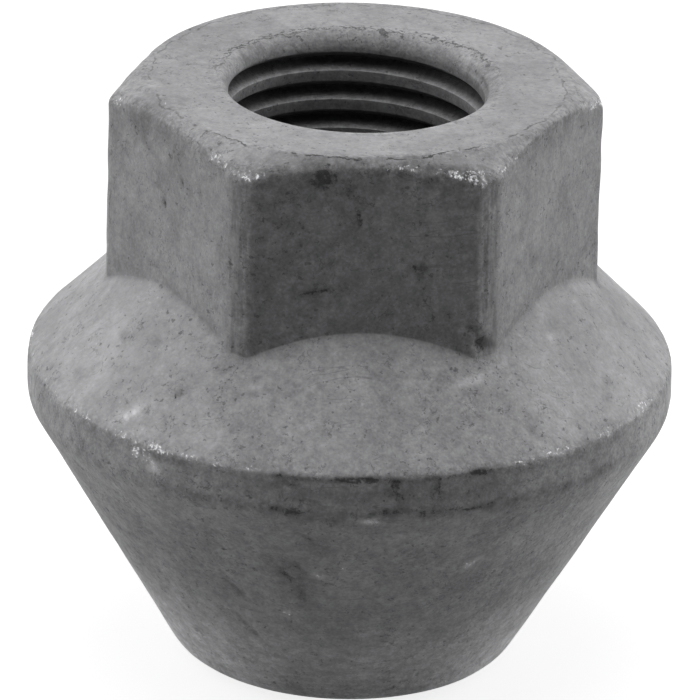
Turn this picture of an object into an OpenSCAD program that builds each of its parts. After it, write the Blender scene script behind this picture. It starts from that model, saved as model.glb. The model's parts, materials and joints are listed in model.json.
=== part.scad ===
// Open-ended lug nut with a conical seat, forged in one piece with its collar.
// It stands on its nose. The origin is the centre of the nose face, +Z runs up
// the axis of the thread, and the hexagon has a corner on +X and a flat facing -Y.

/* [Thread] */
// Nominal diameter of the thread
thread_d = 14; // [12:0.5:16]
// Pitch of the thread, which sets the bore that its crests leave
thread_pitch = 1.5; // [1:0.25:2]
// Width of the countersink round the top mouth, on the radius
mouth_w = 0.4; // [0.15:0.01:0.8]
// Depth of the countersink round the top mouth
mouth_depth = 0.7; // [0.3:0.05:1.5]
// Width of the lead-in chamfer round the nose mouth, on the radius
lead_in_w = 0.3; // [0.15:0.05:1]

/* [Hexagon] */
// Width across the flats
hex_af = 21; // [19:0.5:24]
// Radius of the upright corners
hex_corner_r = 1.2; // [0.4:0.1:2.5]
// Height of a flat at its middle, from the shoulder to the top face
hex_h = 8.85; // [6:0.05:16]
// How far the round edge of the top face stops inside the flats
top_inset = 0.15; // [0.1:0.05:1.5]
// Slope of the chamfer that falls away from the top face
chamfer_angle = 30; // [15:1:45]

/* [Collar] */
// Diameter of the upright rim
collar_d = 31.4; // [28:0.2:36]
// Height of the rim between its sharp edges
rim_h = 2.15; // [1.8:0.05:5]
// Radius of the upper edge of the rim
rim_top_r = 1.5; // [0.3:0.1:2]
// Radius of the lower edge of the rim
rim_low_r = 2.1; // [0.3:0.1:3]
// Slope of the shoulder that rises from the rim to the flats
shoulder_angle = 45; // [30:1:55]
// Radius of the fillet along the foot of the flats
foot_r = 1; // [0.4:0.1:2]

/* [Seat] */
// Full angle of the conical seat
seat_angle = 60; // [50:1:90]
// Radius that turns the seat into the nose face
nose_r = 2; // [0.5:0.1:3]
// Width of the flat ring that the nut stands on
nose_ring_w = 0.4; // [0.2:0.05:1.5]

/* [Hidden] */
$fn = 96;

// Steps along each upright corner, flat, rounded edge and fillet section
corner_steps = 6;
flat_steps = 6;
edge_steps = 6;
foot_steps = 5;

// A hexagon has six sides, 60 degrees apart
sides = 6;
side_turn = 360/sides;

// The thread's crests stand this share of the pitch in from its nominal diameter
crest_share = 1.0825;
// How far the bore's cutter runs past both ends
cut_past = 1;
// How far the shoulder runs on inside the flats, so that the two forms merge
merge_in = 1;
// How deep the fillet's edges and its back lie inside the forms that it joins
foot_sink = 0.03;
foot_back = 0.3;

// Radii, from the bore outwards
bore_r = (thread_d - crest_share*thread_pitch)/2;
lead_in_r = bore_r + lead_in_w;
nose_ring_r = lead_in_r + nose_ring_w;
nose_corner_r = nose_ring_r + nose_r*tan((90 - seat_angle/2)/2);
flat_r = hex_af/2;
sharp_corner_r = flat_r/cos(side_turn/2);
top_face_r = flat_r - top_inset;
collar_r = collar_d/2;

// Heights, from the nose upwards
seat_h = (collar_r - nose_corner_r)/tan(seat_angle/2);
rim_top_z = seat_h + rim_h;
flat_foot_z = rim_top_z + (collar_r - flat_r)*tan(shoulder_angle);
total_h = flat_foot_z + hex_h;

function direction(angle) = [cos(angle), sin(angle)];
function unit(v) = v/norm(v);

// Points round a centre, from one spoke to another of the same length
function arc(centre, first, last, steps) =
    let (turn = acos(unit(first)*unit(last)))
    [for (i = [0:steps])
        centre + (first*sin(turn*(1 - i/steps)) + last*sin(turn*i/steps))/sin(turn)];

// The arc that rounds corner b of the path a, b, c
function rounded(a, b, c, radius) =
    let (
        u = unit(a - b),
        v = unit(c - b),
        half = acos(u*v)/2,
        reach = radius/tan(half),
        centre = b + unit(u + v)*radius/sin(half)
    )
    arc(centre, b + u*reach - centre, b + v*reach - centre, edge_steps);

// Centre of an upright corner's radius
function corner_centre(k) =
    direction(side_turn*k)*(flat_r - hex_corner_r)/cos(side_turn/2);

// An upright corner of the hexagon, from the flat before it to the flat after it
function corner_arc(k) =
    arc(
        corner_centre(k),
        hex_corner_r*direction(side_turn*(k - 0.5)),
        hex_corner_r*direction(side_turn*(k + 0.5)),
        corner_steps
    );

// Places along the foot of one corner and the flat after it, each with the
// angle that the side faces there
function foot_places(k) =
    let (
        corner = corner_arc(k),
        start = corner[corner_steps],
        end = corner_arc(k + 1)[0]
    )
    concat(
        [for (i = [0:corner_steps]) [corner[i], side_turn*(k - 0.5 + i/corner_steps)]],
        [for (j = [1:flat_steps - 1]) [start + (end - start)*j/flat_steps, side_turn*(k + 0.5)]]
    );

// Section of the fillet at one place: a ball that touches the side and the
// shoulder leaves the hollow arc, and the back lies inside the nut
function foot_section(place, angle) =
    let (
        ball = place + foot_r*direction(angle),
        outward = unit(ball),
        side = [cos(angle), sin(angle), 0],
        slope = [
            outward.x*sin(shoulder_angle),
            outward.y*sin(shoulder_angle),
            cos(shoulder_angle)
        ],
        shoulder_z = flat_foot_z + (flat_r - norm(ball))*tan(shoulder_angle),
        centre = [ball.x, ball.y, shoulder_z + foot_r/cos(shoulder_angle)],
        hollow = arc(centre, -foot_r*side, -foot_r*slope, foot_steps),
        between = side + slope,
        crease = foot_r/(norm(between)/2)
    )
    concat(
        [centre - (foot_r + foot_sink)*side],
        [for (i = [1:foot_steps - 1]) hollow[i]],
        [centre - (foot_r + foot_sink)*slope],
        [centre - (crease + foot_back)*unit(between)]
    );

// Hexagon with round corners under the chamfer of the top face
module hex_head() {
    corner_drop = (sharp_corner_r - top_face_r)*tan(chamfer_angle);
    intersection() {
        translate([0, 0, seat_h + rim_h/2])
            linear_extrude(total_h)
                polygon([for (k = [0:sides - 1]) each corner_arc(k)]);
        rotate_extrude()
            polygon([
                [0, seat_h],
                [sharp_corner_r, seat_h],
                [sharp_corner_r, total_h - corner_drop],
                [top_face_r, total_h],
                [0, total_h]
            ]);
    }
}

// Nose, conical seat, rim and shoulder as one turned form
module collar() {
    foot = [0, 0];
    nose = [nose_corner_r, 0];
    rim_low = [collar_r, seat_h];
    rim_top = [collar_r, rim_top_z];
    inside = [flat_r - merge_in, flat_foot_z + merge_in*tan(shoulder_angle)];
    rotate_extrude()
        polygon(concat(
            [foot],
            rounded(foot, nose, rim_low, nose_r),
            rounded(nose, rim_low, rim_top, rim_low_r),
            rounded(rim_low, rim_top, inside, rim_top_r),
            [inside, [0, inside.y]]
        ));
}

// Fillet that follows the foot of the six flats and corners over the shoulder
module foot_fillet() {
    places = [for (k = [0:sides - 1]) each foot_places(k)];
    sections = [for (p = places) foot_section(p[0], p[1])];
    rings = len(sections);
    ring = len(sections[0]);
    polyhedron(
        points = [for (s = sections) each s],
        faces = [
            for (r = [0:rings - 1], i = [0:ring - 1])
            let (
                next_r = (r + 1)%rings,
                next_i = (i + 1)%ring,
                a = r*ring + i,
                b = r*ring + next_i,
                c = next_r*ring + next_i,
                d = next_r*ring + i
            )
            each [[a, c, b], [a, d, c]]
        ]
    );
}

// Bore at the crests of the thread, with a lead-in below and a countersink above
module bore() {
    mouth_slope = mouth_w/mouth_depth;
    rotate_extrude()
        polygon([
            [0, -cut_past],
            [lead_in_r + cut_past, -cut_past],
            [bore_r, lead_in_w],
            [bore_r, total_h - mouth_depth],
            [bore_r + (mouth_depth + cut_past)*mouth_slope, total_h + cut_past],
            [0, total_h + cut_past]
        ]);
}

module lug_nut() {
    color("#9b9b9d")
        difference() {
            union() {
                collar();
                hex_head();
                foot_fillet();
            }
            bore();
        }
}

lug_nut();
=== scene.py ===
import json
import math

import bmesh
import bpy
from mathutils import Matrix, Vector, kdtree, noise


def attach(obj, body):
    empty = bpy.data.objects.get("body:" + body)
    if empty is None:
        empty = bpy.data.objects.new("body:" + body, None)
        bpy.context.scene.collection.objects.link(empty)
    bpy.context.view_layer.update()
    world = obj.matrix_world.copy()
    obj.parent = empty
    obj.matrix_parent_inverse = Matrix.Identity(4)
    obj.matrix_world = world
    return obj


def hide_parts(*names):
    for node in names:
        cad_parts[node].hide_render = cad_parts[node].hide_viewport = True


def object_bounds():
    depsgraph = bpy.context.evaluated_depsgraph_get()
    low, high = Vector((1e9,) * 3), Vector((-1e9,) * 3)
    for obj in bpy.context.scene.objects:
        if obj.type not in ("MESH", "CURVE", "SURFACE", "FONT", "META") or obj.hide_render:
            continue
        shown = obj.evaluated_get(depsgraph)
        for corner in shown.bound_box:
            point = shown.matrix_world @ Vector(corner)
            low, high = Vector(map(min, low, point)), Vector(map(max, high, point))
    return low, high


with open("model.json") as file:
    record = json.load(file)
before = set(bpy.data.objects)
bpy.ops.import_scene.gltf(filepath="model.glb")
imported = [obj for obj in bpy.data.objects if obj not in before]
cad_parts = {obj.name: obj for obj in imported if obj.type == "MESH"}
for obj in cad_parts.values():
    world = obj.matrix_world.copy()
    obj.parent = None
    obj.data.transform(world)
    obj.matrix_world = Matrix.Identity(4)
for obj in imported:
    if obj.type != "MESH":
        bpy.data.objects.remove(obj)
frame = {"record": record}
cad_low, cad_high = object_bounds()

# The nut: one piece of forged steel, open at both ends.
# It starts as a round blank with a collar and a conical seat, and a die presses six flats into its upper
# half. Handling has since bruised the corners and rolled over the upper edges of some flats.

# Sizes in mm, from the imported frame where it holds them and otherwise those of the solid
mm = 0.001
mounts = {mount["name"]: mount for mount in frame["record"]["mounts"]}
height = cad_high.z/mm
collar_r = cad_high.x/mm
bore_r = mounts["stud_thread"]["dims"]["r_mm"]
flat_r = -mounts["drive_flat"]["pos_m"][1]/mm
nose_ring_mid = mounts["nose_face"]["pos_m"][0]/mm

sixth = math.radians(60)
top_inset = 0.15
top_face_r = flat_r - top_inset
top_face_in_r = 7.2
chamfer_slope = math.tan(math.radians(30))
seat_slope = math.tan(math.radians(60))
nose_r = 2.0
nose_ring_half = 0.2
nose_corner_r = nose_ring_mid + nose_ring_half + nose_r*math.tan(math.radians(30))
rim_h = 2.15
rim_low_z = (collar_r - nose_corner_r)*seat_slope
rim_top_z = rim_low_z + rim_h

# The upright corners by whole sixths of a turn from +X: each is bruised to a small facet
# that stands at its own radius and leans a few degrees to one side
corner_facets = [(11.86, 3), (11.88, -4), (11.9, 2), (11.94, 0), (11.79, -2), (11.76, 2)]
corner_blend = 0.11

# The upper edges of the flats are rolled over a little all round, and far more on the front and left flats:
# each is given by its angle, how far it is rolled, and the turn over which that fades
front = math.radians(-90)
left_flat = math.radians(-152)
roll_all_round = 0.05
rolled_flats = [(front, 0.95, 0.6), (left_flat, 1.1, 0.35)]
rolled_in = 0.5
rolled_drop = 0.19
rolled_slope = 0.16

# Radius and steps of each rounded edge, from the top face down, and the steps along the walls between them
soft_edges = {
    "top": (0.6, 5),
    "chamfer": (0.8, 6),
    "foot": (0.45, 5),
    "rim_top": (1.4, 7),
    "rim_low": (1.9, 6),
    "nose": (nose_r, 8),
}
wall_steps = [10, 3, 40, 34, 10, 74, 2]
blank_steps = 360
step_crowding = 0.4

# An edge takes up at most this share of a wall, but the nose may come nearly to the middle of its ring
wall_share = 0.48
nose_share = 0.97

# The upper edge of the rim is crisper at the front, and softens up to this turn from there
crisp_rim_to = math.radians(75)
crisp_share = 0.35


def ramp(value, low, high):
    """0 below low, 1 above high, and a soft rise between them."""
    share = min(max((value - low)/(high - low), 0), 1)
    return share*share*(3 - 2*share)


def near(gap, width):
    """1 on a line, falling softly to 0 a few widths away from it."""
    return math.exp(-(gap/width)**2)


def turned(angle, start):
    """The turn from one angle to another, at most half a turn either way."""
    return (angle - start + math.pi)%math.tau - math.pi


def side_reach(angle):
    """How far the hexagon's side stands from the axis; its corners are at whole sixths of a turn."""
    corner = round(angle/sixth)
    off_corner = angle - corner*sixth
    flat = flat_r/math.cos(sixth/2 - abs(off_corner))
    facet_r, lean = corner_facets[corner%6]
    facet = facet_r/math.cos(off_corner - math.radians(lean))
    share = min(max(0.5 + (facet - flat)/(2*corner_blend), 0), 1)
    return facet + (flat - facet)*share - corner_blend*share*(1 - share)


def edge_wear(angle):
    """How far the upper edge of the flats is rolled over at one angle."""
    wear = roll_all_round
    for middle, amount, spread in rolled_flats:
        wear += amount*near(turned(angle, middle), spread)
    return wear


def eased(before, corner, after, softness, steps, room):
    """The arc that eases one corner of a section. A short wall on either side makes it smaller."""
    into = before - corner
    out = after - corner
    half = into.angle(out)/2
    reach = min(softness/math.tan(half), wall_share*into.length, room*out.length)
    radius = reach*math.tan(half)
    into.normalize()
    out.normalize()
    centre = corner + (into + out).normalized()*radius/math.sin(half)
    first = corner + into*reach - centre
    last = corner + out*reach - centre
    return [centre + first.slerp(last, i/steps).normalized()*radius for i in range(steps + 1)]


def nut_section(angle):
    """The nut's outline at one angle round the axis, from the mouth over the flats to the nose."""
    side = side_reach(angle)
    wear = edge_wear(angle)
    chamfer_drop = rolled_drop*wear + (side - top_face_r)*(chamfer_slope - rolled_slope*wear)
    knots = [
        Vector((top_face_in_r, height)),
        Vector((top_face_r - rolled_in*wear, height)),
        Vector((side, height - chamfer_drop)),
        Vector((side, rim_top_z + collar_r - side)),
        Vector((collar_r, rim_top_z)),
        Vector((collar_r, rim_low_z)),
        Vector((nose_corner_r, 0)),
        Vector((nose_ring_mid, 0)),
    ]
    arcs = [[knots[0]]]
    for i, (name, (softness, steps)) in enumerate(soft_edges.items()):
        if name == "rim_top":
            off_front = abs(turned(angle, front))
            softness *= crisp_share + (1 - crisp_share)*ramp(off_front, crisp_rim_to/3, crisp_rim_to)
        room = nose_share if name == "nose" else wall_share
        arcs.append(eased(knots[i], knots[i + 1], knots[i + 2], softness, steps, room))
    arcs.append([knots[-1]])
    outline = []
    for arc, onward, steps in zip(arcs, arcs[1:], wall_steps):
        outline += arc
        outline += [arc[-1].lerp(onward[0], i/steps) for i in range(1, steps)]
    return outline + arcs[-1]


# The ring of the section that runs along the middle of each soft edge
edge_ring = {}
passed = wall_steps[0]
for (name, (softness, steps)), onward in zip(soft_edges.items(), wall_steps[1:]):
    edge_ring[name] = passed + steps//2
    passed += steps + onward

# Each vertex keeps its place along the section and round the axis, and its wear, dirt and painted light and
# shade as shares that the coat reads
nut = bmesh.new()
ring_of = nut.verts.layers.int.new("ring")
step_of = nut.verts.layers.int.new("step")
rub_and_highlight = nut.verts.layers.float.new("rub_and_highlight")
dirt_and_shade = nut.verts.layers.float.new("dirt_and_shade")
pitted = nut.verts.layers.float.new("pitted")
tapped = nut.verts.layers.float.new("tapped")
scraped = nut.verts.layers.float.new("scraped")
scuffs_and_painted_light = nut.verts.layers.float.new("scuffs_and_painted_light")
painted_light_and_wear = nut.verts.layers.float.new("painted_light_and_wear")
even = nut.verts.layers.float.new("even")

# Stands in place of a ring's number on the thread, which isn't part of the skin
in_thread = -1

# The thread: right-hand, 1.5 mm a turn, cut into the bore by a tap.
# Its crests are flat and stand at the bore's radius, and the grooves run out towards both mouths.
# The upper mouth is rounded into the bore, a little off centre, and the nose has a short lead-in.

pitch = 1.5
crest_w = 0.6
root_w = 0.06
crest_edge = 0.04
# How much the crests' upper edges are rubbed, which also paints a highlight along them
crest_highlight = 0.35
flank_h = (pitch - crest_w - root_w)/2
root_r = bore_r + flank_h/math.tan(math.radians(30))
thread_steps = 72
thread_turns = math.ceil(height/pitch) + 4

# How close two points are to be welded, and how close to a cut a point counts as on it
weld = 0.002
cut_near = 0.001

# The first crest, by its depth below the top face at one angle of the far wall
far_wall_angle = math.radians(86.9)
first_crest_drop = 1.95

mouth_r = 6.93
mouth_off = Vector((0.14, -0.02, 0))
mouth_depth = 0.95
mouth_rings = [0.03, 0.08, 0.16, 0.28, 0.45, 0.66, 0.9]
lead_in_w = 0.3

# Where the grooves begin and are full, and where the coat ends and the wall is bare, from each mouth
run_out_top = (0.1, 1.2)
run_out_low = (0.2, 1.6)
bare_top = (0.5, 1.1)
bare_low = (0.2, 0.6)

start_z = height - first_crest_drop - pitch*far_wall_angle/math.tau
start_z -= pitch*(math.ceil(start_z/pitch) + 1)

# Radius, drop and painted shade along the outline of one turn; the shade is darkest in the root of the groove
tap_tooth = [
    (bore_r + crest_edge, 0, 0.3),
    (bore_r, crest_edge, 0),
    (bore_r, crest_w/2, 0),
    (bore_r, crest_w - crest_edge, 0.1),
    (bore_r + crest_edge, crest_w, 0.5),
    ((bore_r + root_r)/2, crest_w + flank_h/2, 0.8),
    (root_r, crest_w + flank_h, 1),
    (root_r, crest_w + flank_h + root_w, 1),
    ((bore_r + root_r)/2, pitch - flank_h/2, 0.9),
    (bore_r + crest_edge, pitch, 0.3),
]
tooth = [nut.verts.new((r, 0, start_z - drop)) for r, drop, groove_shade in tap_tooth]
for vert, (r, drop, groove_shade) in zip(tooth, tap_tooth):
    vert[ring_of] = in_thread
    vert[dirt_and_shade] = groove_shade
# A painted highlight along the crests' upper edges, where they are rubbed
for vert in (tooth[0], tooth[1], tooth[-1]):
    vert[rub_and_highlight] = crest_highlight
tooth_line = [nut.edges.new(pair) for pair in zip(tooth, tooth[1:])]
bmesh.ops.spin(
    nut, geom=tooth + tooth_line, cent=(0, 0, 0), axis=(0, 0, 1), dvec=(0, 0, pitch/thread_steps),
    angle=math.tau, steps=thread_steps, use_merge=False,
)
first_turn = nut.verts[:] + nut.edges[:] + nut.faces[:]
for turn in range(1, thread_turns):
    copied = bmesh.ops.duplicate(nut, geom=first_turn)["geom"]
    next_turn = [part for part in copied if isinstance(part, bmesh.types.BMVert)]
    bmesh.ops.translate(nut, vec=(0, 0, pitch*turn), verts=next_turn)
bmesh.ops.remove_doubles(nut, verts=nut.verts, dist=weld)
for end_z, away in ((height, 1), (0, -1)):
    bmesh.ops.bisect_plane(
        nut, geom=nut.verts[:] + nut.edges[:] + nut.faces[:], dist=cut_near,
        plane_co=(0, 0, end_z), plane_no=(0, 0, away), clear_outer=True,
    )
for drop in mouth_rings:
    bmesh.ops.bisect_plane(
        nut, geom=nut.verts[:] + nut.edges[:] + nut.faces[:], dist=cut_near,
        plane_co=(0, 0, height - drop), plane_no=(0, 0, 1),
    )


def mouth_reach(angle, drop):
    """Radius of the rounded mouth at one angle, for a depth below the top face."""
    open_share = max(1 - drop/mouth_depth, 0)
    rolled = 1 - math.sqrt(max(1 - open_share**2, 0))
    shift = mouth_off*rolled
    size = bore_r + (mouth_r - bore_r)*rolled
    along = shift.x*math.cos(angle) + shift.y*math.sin(angle)
    return along + math.sqrt(size**2 - shift.length_squared + along**2)


for vert in nut.verts:
    drop = height - vert.co.z
    angle = math.atan2(vert.co.y, vert.co.x)
    reach = math.hypot(vert.co.x, vert.co.y)
    cut = ramp(drop, *run_out_top)*ramp(vert.co.z, *run_out_low)
    wall = bore_r + (reach - bore_r)*cut
    lead_in = bore_r + max(lead_in_w - vert.co.z, 0)
    wanted = max(wall, mouth_reach(angle, drop), lead_in)
    vert[rub_and_highlight] *= cut
    vert[dirt_and_shade] *= cut
    vert[tapped] = ramp(drop, *bare_top)*ramp(vert.co.z, *bare_low)
    vert.co.x *= wanted/reach
    vert.co.y *= wanted/reach

# The blank is turned round the thread, and the six flats are pressed into it
sections = []
for step in range(blank_steps):
    turn = math.tau*step/blank_steps
    # The steps crowd towards the upright corners, where the side turns
    angle = turn - step_crowding/6*math.sin(6*turn)
    sections.append((angle, nut_section(angle)))
blank = [nut.verts.new((point.x, 0, point.y)) for point in sections[0][1]]
for i, vert in enumerate(blank):
    vert[ring_of] = i
blank_line = [nut.edges.new(pair) for pair in zip(blank, blank[1:])]
bored = set(nut.faces)
bmesh.ops.spin(
    nut, geom=blank + blank_line, cent=(0, 0, 0), axis=(0, 0, 1), angle=sixth, steps=blank_steps//6,
)
wedge = [face for face in nut.faces if face not in bored]
bmesh.ops.spin(
    nut, geom=wedge, cent=(0, 0, 0), axis=(0, 0, 1), angle=math.tau - sixth, steps=5, use_duplicate=True,
)
skin = [vert for vert in nut.verts if vert[ring_of] != in_thread]
bmesh.ops.remove_doubles(nut, verts=skin, dist=weld)
skin = [vert for vert in nut.verts if vert[ring_of] != in_thread]
for vert in skin:
    vert[step_of] = round(math.atan2(vert.co.y, vert.co.x)/math.tau*blank_steps)%blank_steps
    angle, outline = sections[vert[step_of]]
    point = outline[vert[ring_of]]
    vert.co = (point.x*math.cos(angle), point.x*math.sin(angle), point.y)

# The top face and the nose ring close the gap between the blank and the thread
end_near = 0.01
for end_z, away in ((height, 1), (0, -1)):
    ends = [
        edge for edge in nut.edges
        if edge.is_boundary and all(abs(vert.co.z - end_z) < end_near for vert in edge.verts)
    ]
    bmesh.ops.triangle_fill(nut, edges=ends, use_beauty=True, normal=(0, 0, away))
bmesh.ops.recalc_face_normals(nut, faces=nut.faces)
nut.normal_update()

# Wear and painted shade: how much each place of the skin is rubbed bright, darkened or pitted.
# Edges are rubbed in the box and by the socket. The darkening is painted shade in the creases, under the
# edges and on the faces turned from the light, with dark lines along the rim.

# Two dark lines on the front of the rim, by their heights, and the turns over which they fade out
rim_front = math.radians(-87)
rim_marks_from = math.radians(17)
rim_marks_to = math.radians(30)
rim_marks_r = collar_r - 0.6
upper_mark_z = 15.3
lower_mark_z = 13.6
middle_mark_z = (upper_mark_z + lower_mark_z)/2

for vert in skin:
    angle, outline = sections[vert[step_of]]
    here = outline[vert[ring_of]]
    gap = {name: (here - outline[ring]).length for name, ring in edge_ring.items()}
    off_corner = abs((angle + sixth/2)%sixth - sixth/2)*here.x
    off_front = abs(turned(angle, front))
    off_rim_front = abs(turned(angle, rim_front))
    front_flat = off_front < sixth/2
    on_side = edge_ring["chamfer"] < vert[ring_of] < edge_ring["foot"]
    on_front = front_flat and edge_ring["top"] < vert[ring_of] < edge_ring["foot"]
    on_shoulder = edge_ring["foot"] <= vert[ring_of] <= edge_ring["rim_top"]
    on_rim = here.x > rim_marks_r
    on_top_face = 1 - ramp(height - here.y, 0.1, 0.5)
    to_side = ramp(off_front, 0.3, 1.1)
    at_side = ramp(off_rim_front, rim_marks_from, rim_marks_to)
    on_view = 1 - ramp(off_rim_front, 0.6, 1.1)
    sway = noise.noise(Vector((math.cos(angle), math.sin(angle), 0.2))*3)
    patch = noise.noise(Vector((angle*11, 0.7, here.y*0.8)))
    lower_gap = here.y - lower_mark_z - 0.22*noise.noise(Vector((angle*6, 3.1, 0)))

    bright = {
        "chamfer": near(gap["chamfer"], 0.35)*(0.42 + 0.5*sway + 0.45*near(off_corner, 2.2)),
        "rim": near(gap["rim_top"], 0.4)*(0.8 + 0.35*sway)*at_side,
        "top face": near(gap["top"], 0.3)*0.5,
        "upright corners": near(off_corner - 0.5, 0.2)*0.35*on_side,
        "nose": near(gap["nose"], 0.8)*0.2,
    }
    vert[rub_and_highlight] = min(max(bright.values()), 1)

    dirt_and_shade_amount = {
        # Dark lines along the rim: two on its front that fade round the sides, and one under its upper edge
        # at the sides. Between the front lines, painted shade on the land, which faces away from the light.
        "upper line of the rim": on_rim*near(here.y - upper_mark_z, 0.25)*(0.62 + 0.45*patch)*(1 - at_side),
        "lower line of the rim": on_rim*near(lower_gap, 0.38)*(0.74 + 0.45*patch)*(1 - at_side),
        "lower line, further round": on_rim*near(lower_gap, 0.3)*(0.52 + 0.4*patch)*on_view,
        "between the lines": on_rim*near(here.y - middle_mark_z, 0.8)*0.5*(1 - at_side),
        "rim at the sides": on_rim*near(here.y - upper_mark_z + 0.25, 0.3)*0.45*at_side*(0.6 + sway),
        # Painted shade under the chamfer, beside the upright corners, in the crease over the foot and over
        # the whole front flat, which faces away from the light; most of it falls on the front flat.
        "under the chamfer": on_side*(1 - ramp(gap["chamfer"], 0.2, 2.0))*(0.6 if front_flat else 0.25),
        "chamfer of the front flat": near(gap["chamfer"] - 0.3, 0.4)*0.5*front_flat,
        "beside the upright corners": near(off_corner - 0.9, 0.3)*on_side*(0.5 if front_flat else 0.15),
        "over the foot": on_side*near(gap["foot"], 0.8)*(0.5 if front_flat else 0.2),
        "front flat": on_side*0.45*front_flat,
        # Painted shade on the front of the seat and the nose
        "front of the seat": 0.2*(here.y < rim_low_z)*(1 - at_side),
    }
    vert[dirt_and_shade] = min(max(dirt_and_shade_amount.values()), 1)

    worn = {
        "chamfer": near(gap["chamfer"], 0.55),
        "top face": 0.8*near(gap["top"], 0.4),
        "rim": 0.7*near(gap["rim_top"], 0.5),
    }
    vert[pitted] = max(worn.values())*(0.75 + 0.5*sway)
    vert[scraped] = on_side*(1 - ramp(off_corner, 0.35, 0.9))
    # Scuffs round the nose, with painted light that grows towards the bottom, as if lit from below
    vert[scuffs_and_painted_light] = 1 - ramp(here.y, 0, 7.5)

    # Painted light and shade in the film: paler on the shoulder, where the light falls, and darker on the
    # front flat and the front of the rim, which face away from it. The film is also smoother on the shoulder.
    vert[painted_light_and_wear] = on_shoulder*ramp(gap["foot"], 0, 0.4)*(0.3 + 0.7*to_side)
    vert[painted_light_and_wear] -= 0.9*on_front*ramp(off_corner, 0.4, 0.8) + 0.5*on_rim*(here.y < rim_top_z)*(1 - at_side)
    vert[even] = max(on_shoulder*(0.3 + 0.7*to_side), 0.9*on_top_face, 0.6*on_side*(not front_flat))

# The skin of the forging: it swells and sinks a little, and its worn edges are pitted.
# Knocks from the box and the socket have dented it and pushed some of the metal up.

broad_swell = 0.035
broad_size = 4.5
fine_swell = 0.018
scrape_swell = 0.03
fine_size = 1.4
sunk = 0.02
pit_depth = 0.1
pit_size = 0.9
top_flatness = 0.8

for vert in skin:
    place = vert.co.copy()
    swell = broad_swell*noise.noise(place/broad_size)
    swell += (fine_swell + scrape_swell*vert[scraped])*noise.noise(place/fine_size) - sunk
    swell -= pit_depth*vert[pitted]*max(noise.noise(place/pit_size), 0)
    off_nose = ramp(place.z, 0.02, 0.6)
    on_top = ramp(place.z, height - 0.2, height - 0.05)
    vert.co += vert.normal*swell*off_nose*(1 - top_flatness*on_top)

places = kdtree.KDTree(len(skin))
for i, vert in enumerate(skin):
    places.insert(vert.co, i)
places.balance()

# A knock fades out within this many of its lengths
fades_within = 2.5


def knock(angle, reach, level, long, wide, deep, lean=0, rubbed=0, dirt_and_shade_amount=0, paled=0):
    """A dent in the skin, found by its angle round the axis, its radius and its height."""
    angle = math.radians(angle)
    lean = math.radians(lean)
    spot = Vector((reach*math.cos(angle), reach*math.sin(angle), level))
    nearest, index, distance = places.find(spot)
    inward = -skin[index].normal
    around = Vector((-math.sin(angle), math.cos(angle), 0))
    upward = around.cross(inward).normalized()
    along = around*math.cos(lean) + upward*math.sin(lean)
    across = upward*math.cos(lean) - around*math.sin(lean)
    for found, index, distance in places.find_range(nearest, fades_within*max(long, wide)):
        offset = found - nearest
        share = math.exp(-(offset.dot(along)/long)**2 - (offset.dot(across)/wide)**2)
        vert = skin[index]
        vert.co += inward*deep*share
        vert[rub_and_highlight] = min(vert[rub_and_highlight] + rubbed*share, 1)
        vert[dirt_and_shade] = min(vert[dirt_and_shade] + dirt_and_shade_amount*share, 1)
        vert[painted_light_and_wear] += paled*share


# A bruise at the foot of the right front corner, and a dimple on the flat beside it
knock(-60.5, 11.9, 20.0, long=0.6, wide=0.3, deep=0.35, lean=-35, dirt_and_shade_amount=0.45)
knock(-63, 11.7, 20.8, long=0.5, wide=0.2, deep=0.15, lean=-40, dirt_and_shade_amount=0.35)
knock(-58.5, 11.9, 19.6, long=0.4, wide=0.2, deep=-0.1, lean=-35, rubbed=0.3)
knock(-40, 10.7, 22.8, long=0.3, wide=0.25, deep=0.12, dirt_and_shade_amount=0.5)
# A gouge across the left of the shoulder, with the metal it pushed up, and small dings round it
knock(-130.1, 13.75, 17.35, long=0.9, wide=0.18, deep=0.13, lean=43, dirt_and_shade_amount=0.9)
knock(-134.1, 14.6, 16.5, long=0.25, wide=0.15, deep=0.1, lean=43, dirt_and_shade_amount=0.6)
knock(-135.6, 14.5, 16.6, long=1.3, wide=0.34, deep=-0.05, lean=43, rubbed=0.25, paled=2.4)
knock(-138.2, 15.05, 16.05, long=0.3, wide=0.17, deep=-0.05, lean=20, rubbed=2, paled=4)
knock(-136.8, 14.75, 16.35, long=0.3, wide=0.14, deep=-0.04, lean=20, rubbed=2, paled=3)
knock(-142.6, 12.2, 18.9, long=0.5, wide=0.25, deep=0.12, lean=20, dirt_and_shade_amount=0.4)
knock(-165.5, 15.2, 15.9, long=0.4, wide=0.3, deep=0.1, dirt_and_shade_amount=0.4)
knock(-174.5, 12.2, 18.9, long=0.4, wide=0.25, deep=0.08, dirt_and_shade_amount=0.4)
# Knocks on the right of the shoulder, and smudges under the front flat
knock(-37, 11.6, 19.5, long=0.5, wide=0.35, deep=0.18, lean=30, rubbed=0.5, dirt_and_shade_amount=0.3)
knock(-39, 11.9, 19.2, long=0.4, wide=0.2, deep=-0.08, lean=30, rubbed=0.9, paled=2)
knock(-45.9, 13.1, 18.0, long=0.2, wide=0.2, deep=0.05, rubbed=0.8)
knock(-86.2, 12.1, 19.0, long=0.7, wide=0.4, deep=0.05, lean=-20, dirt_and_shade_amount=0.45)
knock(-70.4, 12.2, 19.0, long=0.5, wide=0.25, deep=0.06, lean=35, dirt_and_shade_amount=0.5)
knock(-65, 12.5, 18.6, long=1.0, wide=0.22, deep=-0.05, lean=13, rubbed=0.4, paled=3.5)
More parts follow.
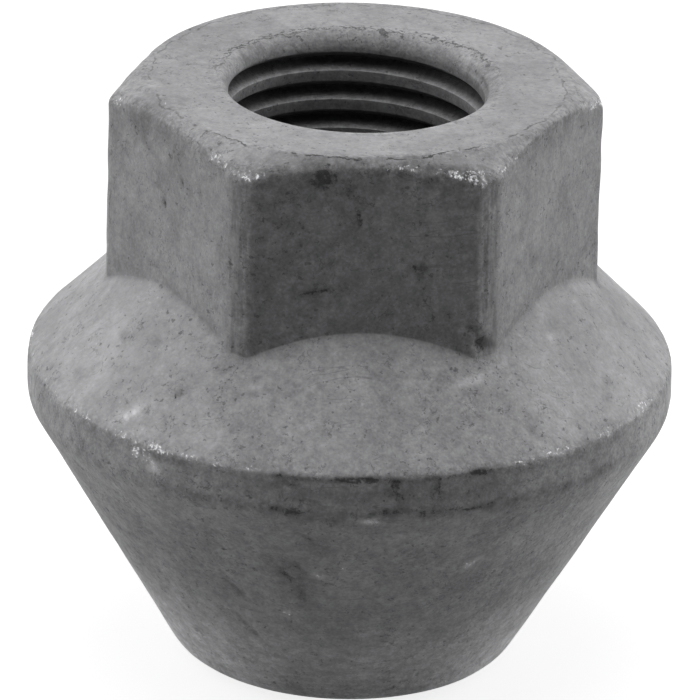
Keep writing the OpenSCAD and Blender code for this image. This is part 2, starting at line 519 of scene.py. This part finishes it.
# Bright nicks in the sides of the rim, and a bright fleck under its front
knock(-129.7, 15.7, 14.4, long=0.4, wide=0.3, deep=0.08, rubbed=2, paled=4)
knock(-132, 15.6, 14.9, long=0.5, wide=0.25, deep=0.08, rubbed=2, paled=2)
knock(-111, 15.6, 15.5, long=0.9, wide=0.3, deep=0.1, rubbed=0.6)
knock(-50.5, 15.6, 15.5, long=0.7, wide=0.3, deep=0.08, rubbed=0.6)
knock(-41.3, 15.5, 15.6, long=0.5, wide=0.3, deep=0.08, rubbed=0.7)
knock(-27.3, 15.4, 15.7, long=0.4, wide=0.3, deep=0.08, rubbed=0.7)
knock(-89.2, 15.5, 13.15, long=0.45, wide=0.2, deep=-0.03, rubbed=2, paled=7)
# Nicks in the front of the rim, full of dirt
knock(-90.6, 15.7, 15.3, long=0.9, wide=0.2, deep=0.1, dirt_and_shade_amount=0.62)
knock(-88.5, 15.7, 15.15, long=0.5, wide=0.2, deep=0.06, dirt_and_shade_amount=0.62)
knock(-102.9, 15.7, 14.95, long=0.5, wide=0.2, deep=0.08, dirt_and_shade_amount=0.55)
knock(-84.2, 15.7, 15.1, long=0.3, wide=0.25, deep=0.06, dirt_and_shade_amount=0.55)
knock(-84.4, 15.7, 14.5, long=0.6, wide=0.4, deep=0.04, dirt_and_shade_amount=0.45)
knock(-76.2, 15.7, 14.8, long=0.25, wide=0.45, deep=0.08, dirt_and_shade_amount=0.55)
knock(-69, 15.7, 15.3, long=0.5, wide=0.2, deep=0.08, dirt_and_shade_amount=0.62)
knock(-71, 15.7, 13.4, long=0.9, wide=0.17, deep=0.08, dirt_and_shade_amount=0.62)
knock(-78.7, 15.6, 13.3, long=0.3, wide=0.2, deep=0.05, dirt_and_shade_amount=0.55)
knock(-96, 15.5, 13.1, long=0.9, wide=0.17, deep=0.06, dirt_and_shade_amount=0.55)
knock(-102, 15.7, 13.5, long=0.6, wide=0.2, deep=0.06, dirt_and_shade_amount=0.55)
# Dirty blotches on the front flat, and smudges and specks on the left one
knock(-101.1, 10.7, 28.5, long=0.5, wide=0.6, deep=0.03, dirt_and_shade_amount=0.7)
knock(-94.2, 10.5, 27.9, long=0.3, wide=0.45, deep=0.03, dirt_and_shade_amount=0.8)
knock(-92, 10.5, 26.5, long=0.2, wide=0.35, deep=0.02, dirt_and_shade_amount=0.7)
knock(-75.8, 10.9, 24.0, long=0.4, wide=0.3, deep=0.03, dirt_and_shade_amount=0.6)
knock(-101.6, 10.7, 22.7, long=0.9, wide=0.12, deep=0.03, lean=12, dirt_and_shade_amount=0.7)
knock(-163, 10.8, 28.2, long=1.2, wide=0.9, deep=0.02, lean=20, dirt_and_shade_amount=0.45)
knock(-152.4, 10.5, 25.0, long=0.12, wide=0.2, deep=0.05, dirt_and_shade_amount=1)
knock(-144.2, 10.6, 26.5, long=0.12, wide=0.2, deep=0.05, dirt_and_shade_amount=1)
# Scuffs and flecks on the seat
knock(-103.5, 13.0, 9.0, long=2.2, wide=0.6, deep=0.02, lean=-66, dirt_and_shade_amount=0.4)
knock(-104.2, 12.8, 8.9, long=1.9, wide=0.22, deep=0.07, lean=-68, dirt_and_shade_amount=0.38)
knock(-101.5, 13.6, 9.9, long=1.2, wide=0.2, deep=0.06, lean=-58, dirt_and_shade_amount=0.38)
knock(-117.3, 12.3, 7.5, long=0.9, wide=0.22, deep=0.06, lean=-60, dirt_and_shade_amount=0.6)
knock(-116.8, 10.7, 4.8, long=1.7, wide=0.2, deep=0.07, lean=-62, dirt_and_shade_amount=0.65)
knock(-99.5, 14.8, 11.6, long=1.1, wide=0.2, deep=0.06, lean=-42, dirt_and_shade_amount=0.6)
knock(-98.4, 13.4, 9.3, long=0.3, wide=0.2, deep=-0.03, rubbed=2, paled=3)
knock(-92.5, 13.7, 9.8, long=0.4, wide=0.18, deep=-0.03, lean=-40, rubbed=0.9, paled=2)
knock(-105.5, 11.8, 6.5, long=0.3, wide=0.2, deep=-0.03, rubbed=2, paled=3)
knock(-66.9, 13.6, 9.6, long=0.5, wide=0.2, deep=-0.03, lean=50, rubbed=2, paled=2.5)
knock(-131.6, 9.1, 1.8, long=0.35, wide=0.2, deep=-0.03, lean=40, rubbed=2, paled=3)
# The corners and edges of the chamfer, knocked down to bright metal, most at the two front corners
knock(-60.5, 11.7, 28.7, long=0.5, wide=0.35, deep=0.08, rubbed=2, paled=1)
knock(-64.5, 11.4, 28.9, long=0.7, wide=0.22, deep=0.05, rubbed=0.5)
knock(-56.5, 11.5, 28.9, long=0.5, wide=0.25, deep=0.05, rubbed=0.6)
knock(-119.5, 11.7, 28.7, long=0.5, wide=0.3, deep=0.08, rubbed=0.7, paled=1)
knock(-124, 11.5, 28.8, long=0.8, wide=0.22, deep=0.05, rubbed=0.5)
knock(-131, 11.1, 28.9, long=0.6, wide=0.25, deep=0.06, rubbed=0.7)
knock(-140, 10.8, 29.0, long=0.5, wide=0.25, deep=0.05, rubbed=0.6)
knock(-148, 10.6, 29.0, long=0.6, wide=0.25, deep=0.05, rubbed=0.6)
knock(-176, 11.7, 28.6, long=0.4, wide=0.3, deep=0.06, rubbed=0.6)
knock(-50, 11.0, 28.9, long=0.5, wide=0.25, deep=0.05, rubbed=0.6)
knock(-22, 11.0, 28.9, long=0.6, wide=0.25, deep=0.05, rubbed=0.6)
knock(-5, 11.7, 28.7, long=0.5, wide=0.3, deep=0.06, rubbed=0.7)

# Nothing may stand out of the solid's box
widest = collar_r - 0.002
tallest = height - 0.0005
for vert in skin:
    reach = math.hypot(vert.co.x, vert.co.y)
    if reach > widest:
        vert.co.x *= widest/reach
        vert.co.y *= widest/reach
for vert in nut.verts:
    vert.co.z = min(max(vert.co.z, 0), tallest)

for face in nut.faces:
    face.smooth = True
sharp_turn = math.radians(40)
for edge in nut.edges:
    edge.smooth = edge.calc_face_angle(0) < sharp_turn
bmesh.ops.scale(nut, vec=(mm, mm, mm), verts=nut.verts)

nut_mesh = bpy.data.meshes.new("nut_forging")
nut.to_mesh(nut_mesh)
nut.free()
nut_forging = bpy.data.objects.new("nut_forging", nut_mesh)
bpy.context.scene.collection.objects.link(nut_forging)

# The coat: a dull grey film of zinc flakes over the outside, baked on before the bore is tapped.
# It is cloudy and finely speckled and chipped along the edges down to bright metal. Painted shade darkens its
# creases and the faces turned from the light, and painted light brightens the shoulder and the nose.

zinc_coat = bpy.data.materials.new("zinc_coat")
zinc_coat.use_nodes = True
coat_nodes = zinc_coat.node_tree.nodes
coat_links = zinc_coat.node_tree.links
film = coat_nodes["Principled BSDF"]
nut_place = coat_nodes.new("ShaderNodeTexCoord").outputs["Object"]


def coat_node(kind, inputs, **settings):
    """A node of the coat, with each input linked to a socket or set to a value."""
    node = coat_nodes.new(kind)
    for name, value in settings.items():
        setattr(node, name, value)
    for name, value in inputs.items():
        if isinstance(value, bpy.types.NodeSocket):
            coat_links.new(value, node.inputs[name])
        else:
            node.inputs[name].default_value = value
    return node


def clouds(size, detail=2.0, roughness=0.5, shift=0.0):
    """Cloudy variation about 0.5, with patches of about the given size in mm."""
    place = coat_node("ShaderNodeVectorMath", {0: nut_place, 1: (shift, shift, shift)}).outputs[0]
    return coat_node("ShaderNodeTexNoise", {
        "Vector": place, "Scale": 1/(size*mm), "Detail": detail, "Roughness": roughness,
    }).outputs["Fac"]


def mapped(value, low, high, to_low=0.0, to_high=1.0):
    """A value brought from one range to another, softly at both ends."""
    return coat_node("ShaderNodeMapRange", {
        "Value": value, "From Min": low, "From Max": high, "To Min": to_low, "To Max": to_high,
    }, interpolation_type="SMOOTHSTEP").outputs[0]


def reckon(operation, first, second=0.0):
    """One step of arithmetic between two values."""
    return coat_node("ShaderNodeMath", {0: first, 1: second}, operation=operation).outputs[0]


def product(*values):
    """Several shares or tones multiplied together."""
    result = values[0]
    for value in values[1:]:
        result = reckon("MULTIPLY", result, value)
    return result


def painted(name):
    """One of the wear values stored on the mesh."""
    return coat_node("ShaderNodeAttribute", {}, attribute_name=name).outputs["Fac"]


def blended(share, first, second):
    """Two values mixed by a share."""
    node = coat_node("ShaderNodeMix", {"Factor": share, "A": first, "B": second}, data_type="FLOAT")
    return node.outputs["Result"]


rub_and_highlight_share = painted("rub_and_highlight")
dirt_and_shade_share = painted("dirt_and_shade")
pitted_share = painted("pitted")
tapped_share = painted("tapped")
even_share = painted("even")

# Tone of the film: clouds and mottling of every size down to fine grain
film_dark = 0.3
film_light = 0.42
film_cloud = clouds(4.0, detail=5, roughness=0.8)
mottle = clouds(0.5, detail=2, roughness=0.8, shift=0.013)
grain = clouds(0.15, detail=1, roughness=0.8, shift=0.027)
tone = product(
    mapped(film_cloud, 0.3, 0.7, film_dark, film_light),
    blended(even_share, mapped(mottle, 0.25, 0.75, 0.82, 1.18), mapped(mottle, 0.25, 0.75, 0.93, 1.07)),
    blended(even_share, mapped(grain, 0.25, 0.75, 0.9, 1.1), mapped(grain, 0.25, 0.75, 0.96, 1.04)),
)

# Dark and bright specks, in loose groups
dark_speck_tone = 0.58
bright_speck_tone = 1.25
group = mapped(clouds(2.4, detail=2, shift=0.041), 0.4, 0.6)
speck = clouds(0.3, detail=3, roughness=0.6, shift=0.053)
dark_speck = mapped(reckon("ADD", speck, product(group, 0.05)), 0.66, 0.72)
bright_speck = mapped(speck, 0.34, 0.27)
tone = product(
    tone, blended(dark_speck, 1.0, dark_speck_tone), blended(bright_speck, 1.0, bright_speck_tone),
)


def streaks(size, stretch, shift):
    """Variation about 0.5 that is drawn out along some of the axes."""
    drawn = coat_node("ShaderNodeMapping", {"Vector": nut_place, "Scale": stretch, "Location": shift})
    return coat_node("ShaderNodeTexNoise", {
        "Vector": drawn.outputs[0], "Scale": 1/(size*mm), "Detail": 2.0,
    }).outputs["Fac"]


# Upright scrapes on the corners of the hexagon, scuff streaks and painted light on the nose, and painted
# light and shade on the shoulder and the front
painted_light_and_wear_gain = 0.18
scrape = streaks(0.22, (1, 1, 0.16), (0, 0, 0))
tone = product(tone, blended(painted("scraped"), 1.0, mapped(scrape, 0.3, 0.7, 0.8, 1.18)))
scuff = streaks(0.25, (0.14, 0.14, 1), (0.02, 0.01, 0))
# The nose is painted about twice as light, as if lit from below, with scuff streaks in it
tone = product(tone, blended(painted("scuffs_and_painted_light"), 1.0, mapped(scuff, 0.3, 0.7, 2.0, 2.32)))
# Painted light on the shoulder, painted shade on the front flat and the front of the rim, and paler film
# where knocks scuffed it
tone = product(tone, reckon("ADD", product(painted("painted_light_and_wear"), painted_light_and_wear_gain), 1.0))

# Fine scratches across the film, and small crooked cracks in it
scratch_tone = 0.75
crack_tone = 0.68
scratch = reckon("ABSOLUTE", reckon("SUBTRACT", streaks(0.9, (0.12, 1, 0.8), (0.03, 0, 0)), 0.5))
scratch = product(mapped(scratch, 0.003, 0.012, 1.0, 0.0), mapped(film_cloud, 0.5, 0.6))
crack = reckon("ABSOLUTE", reckon("SUBTRACT", clouds(0.7, detail=3, roughness=0.6, shift=0.067), 0.5))
crack = product(mapped(crack, 0.004, 0.022, 1.0, 0.0), mapped(clouds(1.0, detail=2, shift=0.079), 0.54, 0.62))
tone = product(tone, blended(scratch, 1.0, scratch_tone), blended(crack, 1.0, crack_tone))

# Pits in the worn edges
pit = clouds(0.26, detail=3, roughness=0.65, shift=0.091)
tone = product(tone, blended(pitted_share, 1.0, mapped(pit, 0.38, 0.62, 0.72, 1.15)))

# Dirt and painted shade: a thin smear with stains over the knocks' dirt and the painted shade of the creases
# and the front, which cakes where it lies thick, and none on the tapped wall
dirt_and_shade_tone = 0.3
thick_dirt_and_shade_tone = 0.6
untapped = reckon("SUBTRACT", 1.0, tapped_share)
smear = clouds(0.9, detail=5, roughness=0.7, shift=0.103)
stain = mapped(clouds(1.6, detail=4, roughness=0.6, shift=0.117), 0.56, 0.74, 0.0, 0.3)
dirt_and_shade_cover = reckon("MAXIMUM", product(dirt_and_shade_share, mapped(smear, 0.36, 0.62, 0.3, 1.0)), stain)
caked_dirt_and_shade = reckon("ADD", reckon("ADD", dirt_and_shade_share, smear), product(reckon("ADD", speck, grain), 0.8))
dirt_and_shade_cover = product(reckon("MAXIMUM", dirt_and_shade_cover, mapped(caked_dirt_and_shade, 1.84, 2.3)), untapped)
thick_dirt_and_shade = product(mapped(caked_dirt_and_shade, 2.05, 2.45), untapped)
tone = product(tone, blended(dirt_and_shade_cover, 1.0, dirt_and_shade_tone), blended(thick_dirt_and_shade, 1.0, thick_dirt_and_shade_tone))

# Chips along the back of the mouth's edge, and the line round the top face, strongest at the front
mouth_line_from = 6.5*mm
mouth_line_to = 7.3*mm
mouth_chip_r = 6.95*mm
mouth_tone = 0.35
ring_line_from = 10.2*mm
ring_line_to = 9.8*mm
ring_tone = 0.3
axes = coat_node("ShaderNodeSeparateXYZ", {"Vector": nut_place})
across = reckon("SQRT", reckon(
    "ADD", product(axes.outputs["X"], axes.outputs["X"]), product(axes.outputs["Y"], axes.outputs["Y"]),
))
on_top = mapped(axes.outputs["Z"], (height - 0.45)*mm, (height - 0.3)*mm)
at_back = mapped(axes.outputs["Y"], -0.5*mm, 3*mm)
at_front = mapped(axes.outputs["Y"], -4*mm, -8*mm)
wander = clouds(1.3, detail=4, roughness=0.65, shift=0.131)
mouth_gap = reckon("SUBTRACT", across, mapped(wander, 0.25, 0.75, mouth_line_from, mouth_line_to))
mouth_line = product(
    mapped(reckon("ABSOLUTE", mouth_gap), 0.02*mm, 0.12*mm, 1.0, 0.0),
    on_top, at_back, mapped(mottle, 0.42, 0.52),
)
chip_gap = reckon("SUBTRACT", across, mouth_chip_r)
mouth_chip = product(
    mapped(reckon("ABSOLUTE", chip_gap), 0.1*mm, 0.45*mm, 1.0, 0.0),
    on_top, at_back, mapped(pit, 0.54, 0.6),
)
mouth_line = reckon("MAXIMUM", mouth_line, mouth_chip)
ring_gap = reckon("SUBTRACT", across, mapped(wander, 0.25, 0.75, ring_line_from, ring_line_to))
ring_line = product(
    mapped(reckon("ABSOLUTE", ring_gap), 0.02*mm, 0.08*mm, 1.0, 0.0),
    on_top, mapped(clouds(0.9, detail=3, shift=0.157), 0.42, 0.52), blended(at_front, 0.5, 1.0),
)
tone = product(tone, blended(mouth_line, 1.0, mouth_tone), blended(ring_line, 1.0, ring_tone))

# Bright metal where the film is chipped off the edges
bare_dark = 0.35
bare_light = 1.0
chip = reckon(
    "ADD",
    product(clouds(0.16, detail=3, roughness=0.6, shift=0.163), 0.6),
    product(clouds(0.9, detail=2, shift=0.171), 0.4),
)
chip_line = mapped(rub_and_highlight_share, 0.0, 1.0, 0.76, 0.53)
bare = mapped(reckon("SUBTRACT", chip, chip_line), -0.02, 0.07)
bare = product(bare, mapped(rub_and_highlight_share, 0.05, 0.3), untapped)
tone = blended(bare, tone, mapped(clouds(0.12, shift=0.197), 0.35, 0.65, bare_dark, bare_light))

# The tapped wall has no film: it is bare steel, with painted shade in the grooves, darkest at the roots, and
# a painted highlight along the rubbed upper edges of the crests
steel_tone = 0.85
groove_shade_tone = 0.3
crest_highlight_gain = 1.8
steel_shade_and_highlight = product(blended(dirt_and_shade_share, steel_tone, groove_shade_tone), blended(rub_and_highlight_share, 1.0, crest_highlight_gain))
tone = product(tone, blended(tapped_share, 1.0, steel_shade_and_highlight))

# The film has a faint cool tint, and bare metal shines a little more than the film does
film_tint = {"Red": 0.99, "Green": 0.985, "Blue": 1.01}
chip_metal = 0.4
wall_metal = 0.2
film_rough = (0.62, 0.5)
bare_rough = 0.4
colour = coat_node("ShaderNodeCombineColor", {
    channel: product(tone, share) for channel, share in film_tint.items()
})
coat_links.new(colour.outputs[0], film.inputs["Base Color"])
metal = reckon("MAXIMUM", product(bare, chip_metal), product(tapped_share, wall_metal))
coat_links.new(metal, film.inputs["Metallic"])
dull = mapped(film_cloud, 0.35, 0.65, *film_rough)
coat_links.new(blended(reckon("MAXIMUM", bare, tapped_share), dull, bare_rough), film.inputs["Roughness"])
film.inputs["Specular IOR Level"].default_value = 0.15

# Fine relief of the film: soft lumps, mottling, and the hollows of specks and pits
relief_height = 0.042*mm
relief = product(clouds(1.2, detail=4, shift=0.187), 0.9)
relief = reckon("ADD", relief, product(mottle, blended(even_share, 1.2, 0.6)))
relief = reckon("SUBTRACT", relief, product(dark_speck, 0.2))
relief = reckon("ADD", relief, product(pit, pitted_share, 0.25))
bumps = coat_node("ShaderNodeBump", {"Height": relief, "Strength": 1.0, "Distance": relief_height})
coat_links.new(bumps.outputs[0], film.inputs["Normal"])
nut_mesh.materials.append(zinc_coat)
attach(nut_forging, "root")
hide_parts("lug_nut")

# The floor: a wide pale sheet that the nut stands on.
# The camera sees it as white paper with the nut's soft shadow on it.

floor_half = 0.6
paper_tone = 0.35
paper_glow = 0.82
paper = bmesh.new()
bmesh.ops.create_grid(paper, x_segments=1, y_segments=1, size=floor_half)
paper_mesh = bpy.data.meshes.new("paper_floor")
paper.to_mesh(paper_mesh)
paper.free()
paper_floor = bpy.data.objects.new("paper_floor", paper_mesh)
bpy.context.scene.collection.objects.link(paper_floor)

white_paper = bpy.data.materials.new("white_paper")
white_paper.use_nodes = True
nodes = white_paper.node_tree.nodes
links = white_paper.node_tree.links
matt = nodes["Principled BSDF"]
matt.inputs["Base Color"].default_value = (paper_tone, paper_tone, paper_tone, 1)
matt.inputs["Roughness"].default_value = 0.9
matt.inputs["Specular IOR Level"].default_value = 0.0
white = nodes.new("ShaderNodeEmission")


def looked_at(nodes, links):
    """1 for a look from the camera, straight, in a reflection or through glass, and 0 for light."""
    path = nodes.new("ShaderNodeLightPath")
    seen = path.outputs["Is Camera Ray"]
    for way in ("Is Glossy Ray", "Is Transmission Ray"):
        either = nodes.new("ShaderNodeMath")
        either.operation = "MAXIMUM"
        links.new(seen, either.inputs[0])
        links.new(path.outputs[way], either.inputs[1])
        seen = either.outputs[0]
    return seen


paper_white = nodes.new("ShaderNodeMath")
paper_white.operation = "MULTIPLY"
paper_white.inputs[1].default_value = paper_glow
links.new(looked_at(nodes, links), paper_white.inputs[0])
links.new(paper_white.outputs[0], white.inputs["Strength"])
both = nodes.new("ShaderNodeAddShader")
links.new(matt.outputs[0], both.inputs[0])
links.new(white.outputs[0], both.inputs[1])
links.new(both.outputs[0], nodes["Material Output"].inputs["Surface"])
paper_mesh.materials.append(white_paper)

# The light: a dark tent with lit panels of white cloth.
# One hangs overhead, one high on the left, and one stands on each side, a little behind the nut.
# The camera sees plain white in place of the tent.

tent = bpy.data.worlds.new("light_tent")
bpy.context.scene.world = tent
tent.use_nodes = True
nodes = tent.node_tree.nodes
links = tent.node_tree.links
cloth = nodes["Background"]
cloth.inputs["Color"].default_value = (1, 1, 1, 1)
outward = nodes.new("ShaderNodeTexCoord").outputs["Generated"]


def lit_panel(turn, rise, edge, strength):
    """Light from one panel, found by its turn and rise in degrees, that fades softly towards its edge."""
    turn = math.radians(turn)
    rise = math.radians(rise)
    facing = nodes.new("ShaderNodeVectorMath")
    facing.operation = "DOT_PRODUCT"
    links.new(outward, facing.inputs[0])
    facing.inputs[1].default_value = (
        math.cos(rise)*math.cos(turn), math.cos(rise)*math.sin(turn), math.sin(rise),
    )
    glow = nodes.new("ShaderNodeMapRange")
    glow.interpolation_type = "SMOOTHSTEP"
    glow.inputs["From Min"].default_value = edge
    glow.inputs["From Max"].default_value = 1.0
    glow.inputs["To Max"].default_value = strength
    links.new(facing.outputs["Value"], glow.inputs["Value"])
    return glow.outputs[0]


light = lit_panel(0, 90, edge=0.8, strength=3.0)
other_panels = [
    lit_panel(180, 50, edge=0.8, strength=0.82),
    lit_panel(160, 12, edge=0.75, strength=2.35),
    lit_panel(20, 12, edge=0.75, strength=3.0),
]
for panel in other_panels:
    more = nodes.new("ShaderNodeMath")
    links.new(light, more.inputs[0])
    links.new(panel, more.inputs[1])
    light = more.outputs[0]
shown = nodes.new("ShaderNodeMix")
shown.data_type = "FLOAT"
links.new(looked_at(nodes, links), shown.inputs["Factor"])
links.new(light, shown.inputs["A"])
shown.inputs["B"].default_value = 1.0
links.new(shown.outputs["Result"], cloth.inputs["Strength"])

# The camera: a long lens, close to square on to the front flat and looking down on the nut.
# It stands half a metre away, and its lens is given in pixels of the picture.

image_w = 700
lens_px = 10276.2
sensor_w = 36
camera_distance = 0.5
camera_up = math.radians(23.116)
camera_round = math.radians(-93.103)
camera_tilt = math.radians(1.547)
aim = Vector((0, 0, 0.015324))
lens = bpy.data.cameras.new("camera")
lens.sensor_width = sensor_w
lens.lens = lens_px/image_w*sensor_w
lens.clip_start = 0.01
camera = bpy.data.objects.new("camera", lens)
bpy.context.scene.collection.objects.link(camera)
from_aim = Vector((
    math.cos(camera_up)*math.cos(camera_round),
    math.cos(camera_up)*math.sin(camera_round),
    math.sin(camera_up),
))
looking = (-from_aim).to_track_quat("-Z", "Y").to_matrix().to_4x4()
camera.matrix_world = (
    Matrix.Translation(aim + from_aim*camera_distance) @ looking @ Matrix.Rotation(camera_tilt, 4, "Z")
)
bpy.context.scene.camera = camera
bpy.context.scene.view_settings.view_transform = "Standard"
